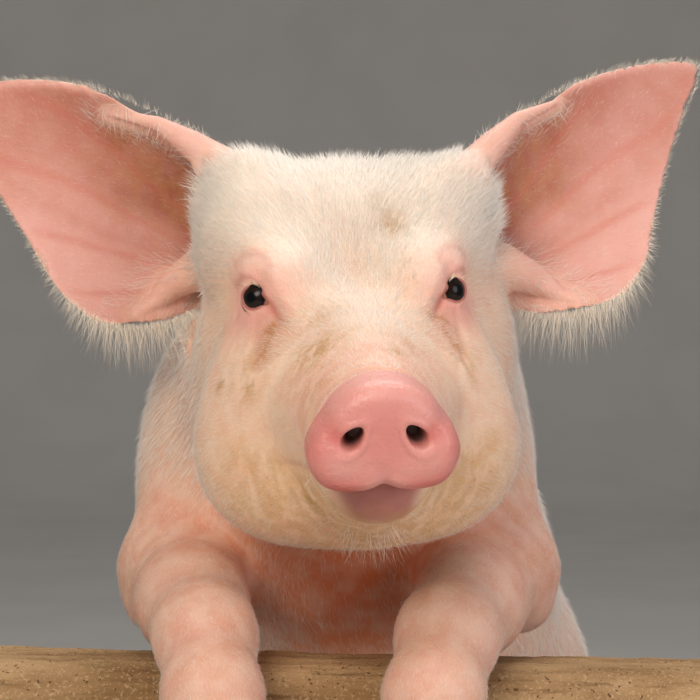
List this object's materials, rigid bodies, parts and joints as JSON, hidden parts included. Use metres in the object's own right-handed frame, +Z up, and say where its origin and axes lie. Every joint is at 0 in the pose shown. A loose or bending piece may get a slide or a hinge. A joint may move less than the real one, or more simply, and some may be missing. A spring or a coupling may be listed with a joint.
{
  "type": "pig",
  "caption": "Young white pig reared on its hind legs, both forelegs hung over a short cut length of rail on a plain display stand, with big upright ears and a round snout disc.",
  "frame": {"origin": "middle of the stand's base, on its underside", "axes": "+Z up; the animal faces -Y and its own left side is towards +X"},
  "size_m": [0.48, 0.6995, 0.769],
  "materials": {
    "skin": "pink skin under short cream bristles",
    "snout_skin": "bare moist pink skin",
    "ear_skin": "thin bare pink skin",
    "horn": "dull horn, standing for hoof keratin",
    "eye": "wet dark eye",
    "rail_wood": "rough weathered rail with dried dirt",
    "base_paint": "satin charcoal paint on board",
    "rod_steel": "brushed"
  },
  "bodies": {
    "root": {"head": "skin", "lower_jaw": "skin", "snout": "snout_skin", "neck": "skin", "trunk_chest": "skin", "trunk_belly": "skin", "trunk_rump": "skin", "tail": "skin", "eye_right": "eye", "eye_left": "eye", "ear_right": "ear_skin", "ear_left": "ear_skin", "foreleg_right_forearm": "skin", "foreleg_right_foot": "skin", "foreleg_right_claw_right": "horn", "foreleg_right_claw_left": "horn", "foreleg_right_dewclaw_right": "horn", "foreleg_right_dewclaw_left": "horn", "hindleg_right_shank": "skin", "hindleg_right_foot": "skin", "hindleg_right_claw_right": "horn", "hindleg_right_claw_left": "horn", "hindleg_right_dewclaw_right": "horn", "hindleg_right_dewclaw_left": "horn", "foreleg_left_forearm": "skin", "foreleg_left_foot": "skin", "foreleg_left_claw_right": "horn", "foreleg_left_claw_left": "horn", "foreleg_left_dewclaw_right": "horn", "foreleg_left_dewclaw_left": "horn", "hindleg_left_shank": "skin", "hindleg_left_foot": "skin", "hindleg_left_claw_right": "horn", "hindleg_left_claw_left": "horn", "hindleg_left_dewclaw_right": "horn", "hindleg_left_dewclaw_left": "horn", "stand_base": "base_paint", "stand_rail": "rail_wood", "stand_rod_right": "rod_steel", "stand_rod_left": "rod_steel"}
  },
  "joints": []
}
